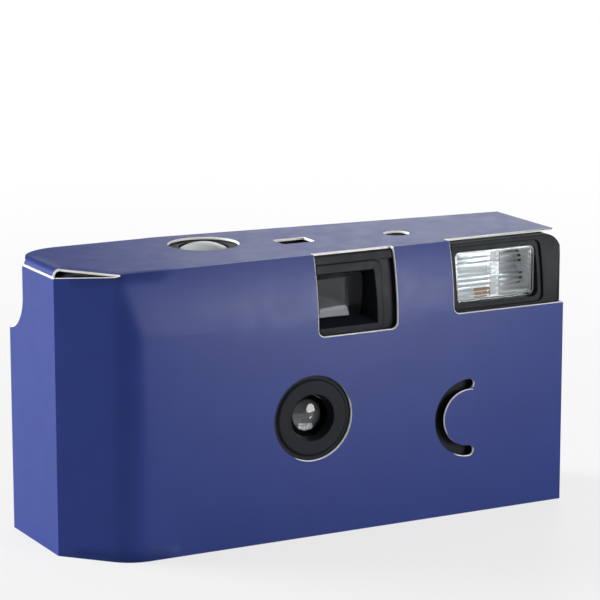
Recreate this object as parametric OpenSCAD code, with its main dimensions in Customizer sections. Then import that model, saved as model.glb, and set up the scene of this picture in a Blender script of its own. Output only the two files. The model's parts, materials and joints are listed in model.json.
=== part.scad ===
// Single-use 35 mm film camera with flash, in a folded card sleeve.
// Millimetres. X runs along the width, the front faces -Y and Z is up.
// Shapes are drawn with y = 0 on the front panel; place() centres the depth.

/* [Case] */
// Width over the two ends
case_w = 118; // [112:1:126]
// Height of the card sleeve
case_h = 61.6; // [58:0.2:67]
// Depth at the cassette end
case_d = 37; // [35:0.5:41]
// Taper of the back from there to the flash end
taper_d = 8.6; // [6:0.2:9]
// Length of the flat stretch of the back at the cassette end
thick_w = 35; // [32:1:38]
// Drop from the top to the line where the front starts to lean back
lean_drop = 16.6; // [15:0.2:18]
// Lean of the front at the top edge
lean_d = 2.4; // [1.6:0.1:2.6]
// Slanted front corner: run along the front
corner_run = 11.3; // [9:0.1:12]
// Slanted front corner: run along the end
corner_depth = 12.6; // [10:0.1:13]
// Rounding between the slanted corner and the front
corner_r = 9.5; // [4:0.5:12]
// Soft bend of the back where the taper starts
back_bend_r = 60; // [20:5:80]

/* [Card sleeve] */
// Thickness of the card
card_t = 0.5; // [0.4:0.05:0.7]
// Gap between the card and the covers
sleeve_gap = 0.15; // [0.1:0.05:0.3]
// Drop of the end panel's edge below the top
tuck_drop = 1.6; // [1:0.1:2.4]
// Fold radius of the top panel's tuck flap
tuck_r = 1.5; // [1:0.1:2]
// Length of the tuck flap inside the end panel
tuck_len = 12; // [6:1:16]
// Run of the open triangle at the slanted corner's top
tuck_gap_run = 13; // [10:0.5:15]
// Drop of the thumb notch's lower edge below the top
notch_drop = 16.4; // [15:0.1:17]
// Reach of the thumb notch on the end panel
notch_reach = 7.4; // [6:0.1:8.4]
// Rounding of the thumb notch in the end panel
notch_r = 7.9; // [4:0.1:8]
// Length of the thumb notch along the back
notch_w = 32.5; // [32:0.5:34]
// Rounding of the top panel at the thumb notch
thumb_r = 11; // [8:0.5:12]

/* [Covers] */
// Wall of the moulded covers
shell_t = 1.4; // [1.2:0.1:1.6]
// Depth of the joint between front and rear cover
split_y = 11.5; // [10.5:0.1:12]
// Rounding of the covers' corner at the flash
cover_corner_r = 5; // [3:0.5:6]
// Rounding of the covers' top edges at the two ends
cover_top_r = 3.2; // [2:0.2:3.4]
// Wall behind the thumb notch
web_t = 0.8; // [0.6:0.1:1]
// Clear of the thumb notch's wall behind the back
web_in = 1.05; // [0.9:0.05:1.1]

/* [Lens] */
// Lens axis, across
lens_x = -4.5; // [-6:0.5:-3]
// Rise of the lens axis above the middle between floor and deck
lens_rise = 0.2; // [0:0.1:0.4]
// Hole in the card round the lens
lens_hole_r = 9.4; // [9:0.1:10]
// Round boss of the front cover in that hole
boss_r = 8.5; // [7.8:0.1:8.8]
// Set-back of the boss behind the card's face
boss_in = 0.15; // [0.1:0.05:0.4]
// Chamfer of the boss's front edge
boss_edge = 0.4; // [0.2:0.1:0.6]
// Mouth of the boss's hole
mouth_r = 5.2; // [5:0.1:5.8]
// Neck of the boss's hole
neck_r = 4.7; // [4.6:0.05:4.8]
// Edge radius of the lens
lens_r = 5; // [4.9:0.05:5.3]
// Edge thickness of the lens
lens_edge = 1; // [0.8:0.1:1.2]
// Radius of the lens's front surface
lens_curve = 8; // [7:0.5:12]
// Outer radius of the ring that holds the lens
retainer_r = 6.5; // [6:0.1:7]
// Hole of that ring
retainer_bore = 3.1; // [2.5:0.1:3.4]
// Radius of the fixed aperture
aperture_r = 1.5; // [1:0.1:2]

/* [Viewfinder] */
// Cut-out in the card: left edge, across from the lens axis
vf_cut_dx = 1.5; // [1:0.1:2]
// Cut-out in the card: width
vf_cut_w = 19.4; // [18.8:0.1:20]
// Cut-out in the card: drop of its lower edge below the top
vf_cut_drop = 17.6; // [17:0.1:18]
// Cut-out in the card: reach behind the top fold
vf_cut_in = 1.3; // [0.8:0.1:1.6]
// Rounding of the cut-outs' corners
cut_r = 1.5; // [0.8:0.1:2]
// Finder axis, across from the lens axis
vf_dx = 8.4; // [8.2:0.1:8.6]
// Drop of the finder axis below the top
vf_drop = 9.9; // [9.7:0.1:10]
// Mouth of the finder recess: width
vf_mouth_w = 15.4; // [15:0.1:15.8]
// Mouth of the finder recess: height
vf_mouth_h = 12.2; // [12:0.1:12.4]
// Front lens of the finder: width
vf_lens_w = 13.6; // [13.2:0.1:13.8]
// Front lens of the finder: height
vf_lens_h = 10; // [9.6:0.1:10.2]
// Raised rim round that mouth
vf_rim = 1.4; // [1:0.1:1.5]
// Front face of the finder housing
vf_front_y = 4.9; // [4.8:0.1:5.2]
// Eyepiece lens: width
eye_w = 9; // [8:0.1:9.4]
// Eyepiece lens: height
eye_h = 7.6; // [7:0.1:8]
// Margin of the card's hole round the eyepiece
eye_margin = 1; // [0.6:0.1:1.4]

/* [Flash] */
// Cut-out in the card: length from the flash end
fl_cut_w = 28.3; // [28:0.1:28.6]
// Cut-out in the card: drop of its lower edge below the top
fl_cut_drop = 15.9; // [15.5:0.1:16.2]
// Cut-out in the card: reach behind the top fold
fl_cut_in = 2.3; // [1.5:0.1:2.6]
// Cut-out in the card: reach along the flash end
fl_cut_side = 9; // [8:0.5:10]
// Window: middle, from the flash end
fw_end = 16.8; // [16.4:0.1:16.9]
// Window: drop of its middle below the top
fw_drop = 8.4; // [8.2:0.1:8.6]
// Window: width
fw_w = 20.6; // [20:0.1:21]
// Window: height
fw_h = 11.2; // [11:0.1:11.6]
// Window: thickness without its ribs
fw_t = 1; // [0.8:0.1:1.2]
// Front face of the window
fw_y = 2.3; // [2.2:0.1:2.5]
// Number of ribs on the window
fw_ribs = 9; // [6:1:12]
// Height of the window's ribs
fw_rib_h = 0.35; // [0.2:0.05:0.5]
// Plain bar between the two fields of ribs
fw_bar = 2.4; // [1.5:0.1:3]
// Rim round the window
fw_rim = 1; // [0.8:0.1:1.1]
// Step of the cover round the window
fw_step = 0.55; // [0.4:0.05:0.7]
// Rounding of the cover's upright edge at the flash end
flash_corner_r = 2.2; // [1.5:0.1:3]
// Rounding of the cover's top edge at the flash end
flash_top_r = 3.6; // [3:0.1:4]
// Depth of the reflector
refl_d = 6.6; // [6:0.1:7]
// Wall of the reflector
refl_t = 0.4; // [0.3:0.05:0.5]
// Radius of the flash tube
tube_r = 1.6; // [1.4:0.05:1.8]

/* [Flash-charge button] */
// Middle of the C-shaped slit, from the flash end
charge_end = 24.3; // [24:0.1:24.6]
// Middle of the C-shaped slit, below the lens axis
charge_dz = 4.5; // [4.1:0.1:4.9]
// Outer radius of the slit
slit_r = 8.75; // [8.4:0.05:9]
// Width of the slit
slit_w = 2.35; // [2:0.05:2.4]
// Offset of the tongue's fold line from the middle
tongue_x = 1.1; // [0.8:0.1:1.3]
// Travel of the charge button
charge_travel = 1.2; // [0.8:0.1:1.3]

/* [Top controls] */
// Shutter button, from the cassette end
btn_end = 40.8; // [40.5:0.1:41]
// Shutter button, from the back
btn_back = 12; // [11.8:0.1:12.2]
// Hole in the card round the button
btn_hole_r = 7.7; // [7.4:0.1:8]
// Radius of the button
btn_r = 5.2; // [4.8:0.1:6]
// Crown of the button
btn_crown = 1.4; // [1:0.1:1.4]
// Stand of the crown above the card
btn_proud = 0.4; // [0.2:0.1:0.8]
// Travel of the button
btn_travel = 1.2; // [0.8:0.1:1.3]
// Radius of the button's stem
stem_r = 1.3; // [1.1:0.1:1.4]
// Counter window, from the disc's middle, as a share of the disc's radius
count_share = 0.73; // [0.7:0.01:0.75]
// Counter disc and its window, from the back
count_back = 18.1; // [17.9:0.1:18.3]
// Counter window: width
count_w = 7.6; // [7:0.1:8]
// Counter window: depth
count_d = 5.4; // [5:0.1:5.8]
// Lamp hole, from the flash end
lamp_end = 34; // [33.6:0.1:34.4]
// Lamp hole, from the back at the flash end
lamp_back = 12.5; // [12.2:0.1:12.8]
// Radius of the lamp hole in the card
lamp_hole_r = 2.75; // [2.6:0.05:3]

/* [Film] */
// Radius of the film cassette
cass_r = 12.5; // [12.2:0.1:12.6]
// Height of the space between floor and deck that the cassette leaves free
cass_spare = 2.6; // [2.2:0.1:3]
// Height of the cassette beyond the film, at each end
cass_cap = 4; // [3.8:0.1:4.2]
// Thickness of the film
film_t = 0.14; // [0.12:0.01:0.16]
// Width that the cassette, the supply roll and the flash circuit take beside the picture
side_room = 82; // [81:0.5:83]
// Film above and below the picture
gate_margin = 5.5; // [5.3:0.1:6]
// Distance of the film at the lens axis from the back's flat stretch
film_back = 6; // [5.8:0.1:6.2]
// Radius of the curved film track
track_r = 80; // [78:1:90]
// Pitch of the perforations
perf_pitch = 4.75; // [4.7:0.01:4.8]
// Outer radius of the unexposed film's roll
roll_r = 8.3; // [7.5:0.1:8.6]
// Supply spool, from the flash end
supply_end = 28; // [27.6:0.1:28.2]
// Supply spool, from the back's flat stretch
supply_back = 17; // [16.8:0.1:17.2]

/* [Mechanism] */
// Radius of the thumb wheel
wheel_r = 15; // [14.6:0.1:15.1]
// Thickness of the thumb wheel's rim
wheel_t = 4.4; // [4:0.1:4.8]
// Notches round the thumb wheel
wheel_notches = 48; // [36:4:60]
// Depth of those notches
notch_depth = 0.5; // [0.3:0.05:0.6]
// Radius of the ratchet under the thumb wheel
ratchet_r = 13.6; // [13:0.1:13.8]
// Teeth of the ratchet
ratchet_teeth = 30; // [24:2:36]
// Angle of the sprocket inside the picture's edge, along the film track
sprocket_in = 0.5; // [0.3:0.1:0.7]
// Radius of the sprocket shaft
shaft_r = 2; // [1.8:0.1:2.1]
// Radius of the counter disc, as a share of the picture's width
disc_share = 0.305; // [0.295:0.005:0.305]
// Teeth of the counter disc
disc_teeth = 40; // [30:2:44]
// Drop of the deck's underside below the covers' ceiling
deck_drop = 10.55; // [10.4:0.05:10.7]
// Thickness of the deck and other chassis walls
wall_t = 1.2; // [1:0.1:1.3]
// Radius of the lever pins
pin_r = 1; // [0.8:0.05:1.05]
// Shutter pivot, across from the lens, as a share of the picture's width
blade_share = 0.278; // [0.265:0.001:0.29]
// Shutter pivot, up from the lens
blade_dz = 7.1; // [6.8:0.1:7.4]
// Thickness of the shutter blade
blade_t = 0.3; // [0.2:0.05:0.35]

/* [Battery and circuit] */
// Radius of the battery
batt_r = 5.2; // [5:0.05:5.25]
// Length of the battery beyond the picture's width
batt_spare = 8.5; // [7.5:0.1:8.5]
// Left end of the battery, from the cassette's axis
batt_gap = 15.55; // [15.4:0.05:15.7]
// Thickness of the battery contacts
contact_t = 0.5; // [0.3:0.1:0.5]
// Height of the negative contact's cone
contact_cone = 0.6; // [0.4:0.1:0.8]
// Radius of the flash capacitor
cap_r = 6.5; // [6:0.1:6.5]
// Length of the flash capacitor
cap_l = 36; // [30:1:38]
// Thickness of the circuit board
board_t = 1.2; // [1:0.1:1.2]

/* [Clearances] */
// Running clearance of pins and shafts, on the radius
run_gap = 0.05; // [0.03:0.01:0.08]
// Clearance between parts that move past each other
slip_gap = 0.3; // [0.2:0.05:0.4]
// Clearance of pieces seated in pockets
seat_gap = 0.1; // [0.05:0.05:0.15]
// Clear of the chassis inside the covers
frame_gap = 0.5; // [0.4:0.1:0.6]

/* [Hidden] */
$fn = 64;
eps = 0.01;
far = 200;

// Ends of the case and the insets of its layers
left_x = -case_w / 2;
right_x = case_w / 2;
thin_d = case_d - taper_d;
cover_in = card_t + sleeve_gap;
end_in = 2 * card_t + sleeve_gap;
inner_in = cover_in + shell_t;
end_inner = end_in + shell_t;
cover_top = case_h - cover_in;
inner_top = case_h - inner_in;
floor_z = inner_in + sleeve_gap;
floor_top = floor_z + wall_t;
deck_z = inner_top - deck_drop;
deck_top = deck_z + wall_t;
lens_z = (floor_top + deck_z) / 2 + lens_rise;

// Leaning upper front
lean_z = case_h - lean_drop;
lean_h = lean_drop;
lean_r = (lean_h * lean_h + lean_d * lean_d) / (2 * lean_d);
lean_steps = 10;

// Cut-outs in the card and what shows in them
notch_z = case_h - notch_drop;
notch_y = case_d - notch_reach;
vf_cut_x = lens_x + vf_cut_dx;
vf_cut_z = case_h - vf_cut_drop;
vf_x = lens_x + vf_dx;
vf_z = case_h - vf_drop;
fl_cut_x = right_x - fl_cut_w;
fl_cut_z = case_h - fl_cut_drop;
fw_x = right_x - fw_end;
fw_z = case_h - fw_drop;
charge_x = right_x - charge_end;
charge_z = lens_z - charge_dz;
btn_x = left_x + btn_end;
btn_y = case_d - btn_back;
lamp_x = right_x - lamp_end;
lamp_y = thin_d - lamp_back;

// Thumb wheel and cassette share one upright axis
wheel_x = left_x + end_inner + slip_gap + wheel_r + run_gap * 2;
wheel_y = case_d - slip_gap - wheel_r;
ratchet_z = deck_top + slip_gap * 2;
ratchet_t = shell_t;
wheel_z = ratchet_z + ratchet_t;
wheel_top = wheel_z + wheel_t;
cass_h = deck_z - floor_top - cass_spare;
cass_z = lens_z - cass_h / 2;
hub_r = cass_r * 0.384;
fork_r = hub_r / 2;
fork_l = cass_cap;
fork_slot = fork_r / 2;
cass_top = cass_z + cass_h;
tin_t = cass_r * 0.024;
lip_l = cass_r * 0.56;
lip_t = cass_r * 0.184;
lip_over = cass_cap * 0.375;

// Film and its track
film_w = cass_h - 2 * cass_cap;
gate_w = case_w - side_room;
gate_h = film_w - 2 * gate_margin;
film_y = case_d - film_back;
supply_x = right_x - supply_end;
supply_y = case_d - supply_back;
track_y = film_y - track_r;
gate_a = asin(gate_w / 2 / track_r);
gate_l = track_point(-gate_a, track_r);
gate_right = track_point(gate_a, track_r);
film_z = lens_z - film_w / 2;
perf_w = perf_pitch * 0.42;
perf_h = perf_pitch * 0.59;
perf_edge = perf_w;
perf_z = film_w / 2 - perf_edge - perf_h / 2;
core_r = roll_r * 0.446;
rib_h = wall_t + 4 * seat_gap;

// Sprocket, eight teeth to a picture, and counter
sprocket_teeth = 8;
pitch_r = sprocket_teeth * perf_pitch / (2 * PI);
sprocket_a = sprocket_in - gate_a;
sprocket_at = track_point(sprocket_a, track_r - pitch_r - film_t / 2);
sprocket_z = lens_z + perf_z;
sprocket_t = perf_w;
tooth_h = perf_pitch * 0.18;
tooth_root = tooth_h * 1.17;
pocket_r = pitch_r + tooth_h + slip_gap * 2;
finger_r = pitch_r * 0.48;
btn_top = case_h + btn_proud;
btn_t = btn_crown / 2;
btn_base = btn_top - btn_crown - btn_t;
disc_t = wall_t * 2 / 3;
disc_z = btn_base - btn_travel - slip_gap - disc_t;
disc_r = gate_w * disc_share;
count_y = case_d - count_back;
disc_pin_h = shaft_r * 0.9;
disc_tooth = disc_r / 18;
disc_dy = sprocket_at.y - count_y;
disc_gap = disc_r + finger_r + seat_gap;
disc_x = sprocket_at.x + sqrt(disc_gap * disc_gap - disc_dy * disc_dy);
count_x = disc_x + disc_r * count_share;
cam_z = wheel_z + slip_gap;
cam_t = shell_t;
cam_r = shaft_r * 1.7;

// Lens stack, from the front
lens_y = inner_in + shell_t / 2;
retainer_y = lens_y - run_gap;
retainer_back = lens_y + lens_edge + neck_r * 0.351;
blade_y = retainer_back + slip_gap;
aperture_y = blade_y + blade_t + slip_gap;
aperture_t = blade_t;
plate_y = aperture_y + aperture_t;
blade_dx = -gate_w * blade_share;
blade_x = lens_x + blade_dx;
blade_z = lens_z + blade_dz;
blade_tab = deck_z - pin_r / 2 - blade_z;
blade_r = aperture_r * 2.27;

// Drive lever
lever_x = blade_x + blade_dx * 0.45;
lever_y = sprocket_at.y - pitch_r - slip_gap;
lever_t = wall_t;
lever_z = deck_z - lever_t - 2 * slip_gap;
lever_wire = pin_r * 0.15;
lever_coil = pin_r * 1.6;

// Button stem
stem_x = btn_x + btn_r * 0.29;
stem_y = btn_y + btn_r * 0.58;
foot_z = deck_z - stem_r - 2 * seat_gap;
foot_r = stem_r * 1.45;

// Finder housing
vf_wall = wall_t - seat_gap;
vf_base = deck_z - 2.5 * wall_t;
vf_back_y = back_y(vf_x) - inner_in - wall_t;
vf_moat_x = vf_x + vf_mouth_w / 2 + vf_rim;
vf_moat_d = shell_t * 0.6;
vf_lens_t = vf_lens_h * 0.208;
vf_round = vf_lens_h * 0.052;
vf_dish_r = vf_lens_w * 2.075;
vf_dish = vf_lens_t * 0.45;
eye_t = eye_h * 0.237;
eye_bulge = eye_h * 0.105;
eye_dome_r = eye_w * 1.78;

// Supply chamber, battery and board
supply_gap = slip_gap * 3;
bridge_z = lens_z + film_w / 2 + 2 * wall_t - seat_gap;
bridge_half = roll_r + supply_gap + wall_t;
batt_x = wheel_x + batt_gap;
batt_l = gate_w + batt_spare;
batt_y = inner_in + slip_gap + batt_r;
batt_z = floor_top + batt_r;
board_y = supply_y - roll_r - supply_gap - wall_t - board_t - 2 * seat_gap;
charge_hole_r = slit_r + slip_gap;
cap_x = supply_x + bridge_half + cap_r + 2 * slip_gap;
cap_y = supply_y - cap_r * 0.385;
lead_gap = cap_r * 0.385;
lead_r = cap_r * 0.06;
coil_w = cap_r * 1.23;
coil_d = board_y - inner_in - 4 * slip_gap;
coil_h = cap_r * 1.385;
coil_r = coil_d * 0.46;
coil_z = floor_top + cap_r * 0.77;
lamp_r = lamp_hole_r * 0.727;
tube_y = fw_y + fw_t + 3 * tube_r;
tube_end = tube_r * 0.94;
refl_half = fw_h / 2 - refl_t - slip_gap;
nub = batt_r * 0.19;
contact_w = batt_r * 0.77;
contact_h = batt_r * 0.62;

// Colours
card_blue = [0.26, 0.31, 0.58];
moulded_black = [0.09, 0.09, 0.1];
dark_grey = [0.22, 0.22, 0.24];
clear_plastic = [0.85, 0.9, 0.95, 0.5];
button_grey = [0.7, 0.73, 0.73];
bright_steel = [0.75, 0.76, 0.78];
spring_brass = [0.78, 0.66, 0.35];
film_brown = [0.35, 0.2, 0.16];
amber = [0.8, 0.5, 0.15];
board_green = [0.13, 0.3, 0.2];
wire_red = [0.75, 0.6, 0.2];
lamp_pink = [0.9, 0.75, 0.65, 0.7];
jacket_grey = [0.3, 0.32, 0.34];

// Functions of the case's outline
function back_y(x) = x <= left_x + thick_w ? case_d
    : case_d - (x - left_x - thick_w) * (case_d - thin_d) / (case_w - thick_w);
function lean(z) = z <= lean_z ? 0 : lean_r - sqrt(lean_r * lean_r - (z - lean_z) * (z - lean_z));
function unit(v) = v / norm(v);
function across(a, b) = a.x * b.y - a.y * b.x;
function meet(p, u, q, v) = p + u * across(q - p, v) / across(u, v);
function track_point(a, r) = [lens_x + r * sin(a), track_y + r * cos(a)];
function touch_point(p, c, r, side) =
    let (d = p - c, a = atan2(d.y, d.x) + side * acos(r / norm(d))) c + r * [cos(a), sin(a)];

// Corners of the case in plan, anticlockwise from the slanted front corner
function plan_corners() = [
    [left_x + corner_run, 0], [right_x, 0], [right_x, thin_d],
    [left_x + thick_w, case_d], [left_x, case_d], [left_x, corner_depth]];

// The same corners with the walls moved in, the two ends by their own inset
function inset_corners(in, ends) = let (
    p = plan_corners(),
    d = [in, ends, in, in, ends, in],
    u = [for (k = [0:5]) unit(p[(k + 1) % 6] - p[k])],
    q = [for (k = [0:5]) p[k] + d[k] * [-u[k].y, u[k].x]])
    [for (k = [0:5]) meet(q[(k + 5) % 6], u[(k + 5) % 6], q[k], u[k])];

// Arc of points that rounds the corner p between its neighbours
function rounded(a, p, b, r, n) = r <= 0 ? [p] : let (
    u = unit(a - p), v = unit(b - p), half = acos(u * v) / 2,
    c = p + unit(u + v) * r / sin(half), from = p + u * r / tan(half) - c, to = p + v * r / tan(half) - c,
    start = atan2(from.y, from.x), sweep = (atan2(to.y, to.x) - start + 540) % 360 - 180)
    [for (i = [0:n]) c + r * [cos(start + sweep * i / n), sin(start + sweep * i / n)]];

function outline(in, ends, front_right_r) = let (
    p = inset_corners(in, ends),
    r = [corner_r - in, front_right_r, 0, back_bend_r - in, 0, 0],
    n = [12, 6, 1, 3, 1, 1])
    [for (k = [0:5]) each rounded(p[(k + 5) % 6], p[k], p[(k + 1) % 6], r[k], n[k])];

function side_profile(in) = [
    [in, -1], [case_d + 1, -1], [case_d + 1, case_h + 1],
    [in + lean_d, case_h + 1],
    for (j = [lean_steps:-1:0]) let (z = lean_h * j / lean_steps)
        [lean_r - sqrt((lean_r - in) * (lean_r - in) - z * z), lean_z + z]];

// Placing and simple solids
module place() {
    translate([0, -case_d / 2, 0]) children();
}

module box(a, b) {
    translate(a) cube(b - a);
}

module rod_x(y, z, x0, x1, r) {
    translate([x0, y, z]) rotate([0, 90, 0]) cylinder(r = r, h = x1 - x0);
}

module rod_y(x, z, y0, y1, r, r_end) {
    translate([x, y0, z]) rotate([-90, 0, 0]) cylinder(r1 = r, r2 = is_undef(r_end) ? r : r_end, h = y1 - y0);
}

module rod_z(x, y, z0, z1, r) {
    translate([x, y, z0]) cylinder(r = r, h = z1 - z0);
}

// Rounded rectangle about the origin
module plate_2d(w, h, r) {
    square([w - 2 * r, h], center = true);
    square([w, h - 2 * r], center = true);
    for (x = [-1, 1], y = [-1, 1]) {
        translate([x * (w / 2 - r), y * (h / 2 - r)]) circle(r);
    }
}

// Rounded window along Y, middle at x, z
module window_y(x, z, w, h, r, y0, y1) {
    translate([x, y1, z]) rotate([90, 0, 0]) linear_extrude(y1 - y0) plate_2d(w, h, r);
}

// Rounded window along Z, middle at x, y
module window_z(x, y, w, d, r, z0, z1) {
    translate([x, y, z0]) linear_extrude(z1 - z0) plate_2d(w, d, r);
}

// Tapered box along Y from a wide front to a narrow back, or the reverse
module taper_y(x, z, y0, w0, h0, y1, w1, h1) {
    intersection() {
        translate([x, 0, z - far / 2]) linear_extrude(far)
            polygon([[-w0 / 2, y0], [w0 / 2, y0], [w1 / 2, y1], [-w1 / 2, y1]]);
        translate([x - far / 2, 0, z]) rotate([90, 0, 90]) linear_extrude(far)
            polygon([[y0, -h0 / 2], [y1, -h1 / 2], [y1, h1 / 2], [y0, h0 / 2]]);
    }
}

// The case's own form, with every wall moved in
module block(in, ends, z0, z1, front_right_r = 0) {
    intersection() {
        translate([0, 0, z0]) linear_extrude(z1 - z0) polygon(outline(in, ends, front_right_r));
        translate([-far / 2, 0, 0]) rotate([90, 0, 90]) linear_extrude(far) polygon(side_profile(in));
    }
}

// Arm with round ends between two points, drawn flat
module arm_2d(a, b, half) {
    d = b - a;
    translate(a) circle(half);
    translate(b) circle(half);
    translate(a) rotate(atan2(d.y, d.x)) translate([0, -half]) square([norm(d), 2 * half]);
}

// Coil spring about Z as one swept wire
module coil(r, wire, height, turns) {
    rings = 12;
    sides = 6;
    count = rings * turns;
    rise = height - 2 * wire;
    points = [for (i = [0:count]) let (a = 360 * i / rings, z = wire + rise * i / count)
        for (j = [0:sides - 1]) let (q = r + wire * cos(360 * j / sides))
            [q * cos(a), q * sin(a), z + wire * sin(360 * j / sides)]];
    skin = [for (i = [0:count - 1], j = [0:sides - 1])
        let (a = i * sides + j, b = i * sides + (j + 1) % sides)
            each [[a, a + sides, b], [b, a + sides, b + sides]]];
    ends = [[for (j = [0:sides - 1]) j], [for (j = [sides - 1:-1:0]) count * sides + j]];
    polyhedron(points, concat(skin, ends));
}

// Card sleeve
module slit_2d() {
    mid_r = slit_r - slit_w / 2;
    difference() {
        circle(slit_r);
        circle(slit_r - slit_w);
        translate([0, -far / 2]) square(far);
    }
    for (s = [-1, 1]) translate([0, s * mid_r]) circle(slit_w / 2);
}

module tongue_2d(edge) {
    intersection() {
        circle(slit_r - slit_w);
        translate([edge - far, -far / 2]) square(far);
    }
}

module on_front(x, z, y0, y1) {
    translate([x, y1, z]) rotate([90, 0, 0]) linear_extrude(y1 - y0) children();
}

// Thumb notch in the end and back panels
module thumb_notch(top) {
    from = notch_y + notch_r;
    rod_x(from, notch_z + notch_r, left_x - 1, left_x + card_t + 1, notch_r);
    box([left_x - 1, notch_y, notch_z + notch_r], [left_x + card_t + 1, case_d + 1, top]);
    box([left_x - 1, case_d - card_t - eps, notch_z], [left_x + notch_w, case_d + 1, top]);
}

// Corner of the top panel and of the covers rounded for the thumb
module thumb_corner(r, z0, z1) {
    at = [left_x + thumb_r, case_d - thumb_r];
    difference() {
        box([left_x - 1, at.y, z0], [at.x, case_d + 1, z1]);
        rod_z(at.x, at.y, z0 - 1, z1 + 1, r);
    }
}

module sleeve_walls() {
    difference() {
        block(0, 0, 0, case_h);
        block(card_t, card_t, card_t, case_h + 1);
        translate([0, corner_depth + tuck_drop, 0]) rotate([90, 0, 0]) linear_extrude(far) polygon([
            [left_x - 1, case_h - tuck_drop], [left_x, case_h - tuck_drop], [left_x + tuck_gap_run, case_h],
            [left_x + tuck_gap_run, case_h + 1], [left_x - 1, case_h + 1]]);
        box([left_x - 1, corner_depth, case_h - tuck_drop], [left_x + card_t + eps, case_d + 1, case_h + 1]);
    }
}

module sleeve_top() {
    fold_x = left_x + card_t + tuck_r;
    fold_y = corner_depth + tuck_drop;
    fold_in = thumb_r - card_t - tuck_r;
    fold_end = case_d - thumb_r + sqrt(thumb_r * thumb_r - fold_in * fold_in);
    intersection() {
        block(0, 0, case_h - card_t, case_h);
        linear_extrude(far) polygon([[left_x + tuck_gap_run, -1], [right_x + 1, -1],
            [right_x + 1, case_d + 1], [fold_x, case_d + 1], [fold_x, fold_y]]);
    }
    translate([fold_x, fold_end, case_h - tuck_r]) rotate([90, 0, 0]) linear_extrude(fold_end - fold_y)
        intersection() {
            difference() {
                circle(tuck_r);
                circle(tuck_r - card_t);
            }
            translate([-far, 0]) square(far);
        }
    box([left_x + card_t - eps, fold_y, case_h - tuck_r - tuck_len],
        [left_x + 2 * card_t, fold_end, case_h - tuck_r]);
}

// Cut-out of the card over the finder, drawn in by a gap
module finder_cut(gap, depth) {
    top = case_h + cut_r + 1;
    window_y(vf_cut_x + vf_cut_w / 2, (vf_cut_z + top) / 2, vf_cut_w - 2 * gap, top - vf_cut_z - 2 * gap,
        cut_r, -1, depth);
}

// Cut-out of the card over the flash, drawn in by a gap
module flash_cut(gap, depth) {
    top = case_h + cut_r + 1;
    mid = right_x + 1;
    window_y(mid, (fl_cut_z + top) / 2, 2 * (mid - fl_cut_x - gap), top - fl_cut_z - 2 * gap,
        cut_r, -1, depth);
}

module card_sleeve() {
    place() color(card_blue) difference() {
        union() {
            sleeve_walls();
            sleeve_top();
        }
        rod_y(lens_x, lens_z, -1, inner_in, lens_hole_r);
        on_front(charge_x, charge_z, -1, inner_in) slit_2d();
        on_front(charge_x, charge_z, -1, inner_in) tongue_2d(tongue_x);
        finder_cut(0, lean_d + vf_cut_in);
        flash_cut(0, lean_d + fl_cut_in);
        box([right_x - card_t - eps, -1, fl_cut_z], [right_x + 1, fl_cut_side, case_h - card_t]);
        rod_z(btn_x, btn_y, case_h - 1, case_h + 1, btn_hole_r);
        window_z(count_x, count_y, count_w, count_d, cut_r / 2, case_h - 1, case_h + 1);
        rod_z(lamp_x, lamp_y, case_h - 1, case_h + 1, lamp_hole_r);
        window_y(vf_x, vf_z, eye_w + 2 * eye_margin, eye_h + 2 * eye_margin, cut_r, thin_d, case_d + 1);
        thumb_notch(case_h - card_t);
        thumb_corner(thumb_r, case_h - 2 * card_t, case_h + 1);
    }
}

module flash_button_flap() {
    place() color(card_blue) on_front(charge_x, charge_z, 0, card_t) tongue_2d(tongue_x - run_gap / 2);
}

// Moulded covers
module cover_shell() {
    difference() {
        block(cover_in, end_in, cover_in, cover_top, cover_corner_r);
        block(inner_in, end_inner, inner_in, inner_top, cover_corner_r - shell_t);
        for (s = [0, 1]) mirror([s, 0, 0]) {
            translate([right_x - end_in - cover_top_r, case_d + 1, cover_top - cover_top_r])
                rotate([90, 0, 0]) linear_extrude(far) difference() {
                    square(far);
                    circle(cover_top_r);
                }
        }
    }
}

// Finder recess: tapers from its mouth to the finder's front lens
module finder_recess(wall) {
    taper_y(vf_x, vf_z, 0, vf_mouth_w + 2 * wall, vf_mouth_h + 2 * wall,
        vf_front_y - seat_gap, vf_lens_w + 2 * (wall - slip_gap), vf_lens_h + 2 * (wall - slip_gap));
}

module finder_rim() {
    intersection() {
        window_y(vf_x, vf_z, vf_mouth_w + 2 * vf_rim, vf_mouth_h + 2 * vf_rim, cut_r, -1, split_y);
        finder_cut(2 * seat_gap, split_y);
        difference() {
            block(boss_in * 2, end_in, cover_in, cover_top, cover_corner_r);
            block(inner_in, end_inner, inner_in, inner_top, cover_corner_r - shell_t);
        }
    }
}

// Groove between the finder's rim and the card
module finder_moat() {
    top = vf_z + vf_mouth_h / 2 + vf_rim;
    difference() {
        box([vf_moat_x - eps, -1, vf_cut_z + seat_gap], [vf_cut_x + vf_cut_w - seat_gap, split_y, top]);
        block(cover_in + vf_moat_d, end_in, 0, case_h);
    }
}

// The cover round the flash, flush with the card
module flash_pad() {
    end_x = right_x - run_gap;
    intersection() {
        difference() {
            block(run_gap, run_gap, cover_in, cover_top, flash_corner_r);
            block(inner_in, end_inner, inner_in, inner_top, cover_corner_r - shell_t);
            translate([end_x - flash_top_r, case_d, cover_top - flash_top_r]) rotate([90, 0, 0])
                linear_extrude(far) difference() {
                    square(far);
                    circle(flash_top_r);
                }
        }
        flash_cut(2 * seat_gap, fl_cut_side - 2 * seat_gap);
    }
}

module flash_rim(grow, depth) {
    window_y(fw_x, fw_z, fw_w + 2 * grow, fw_h + 2 * grow, cut_r, -1, depth);
}

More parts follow.
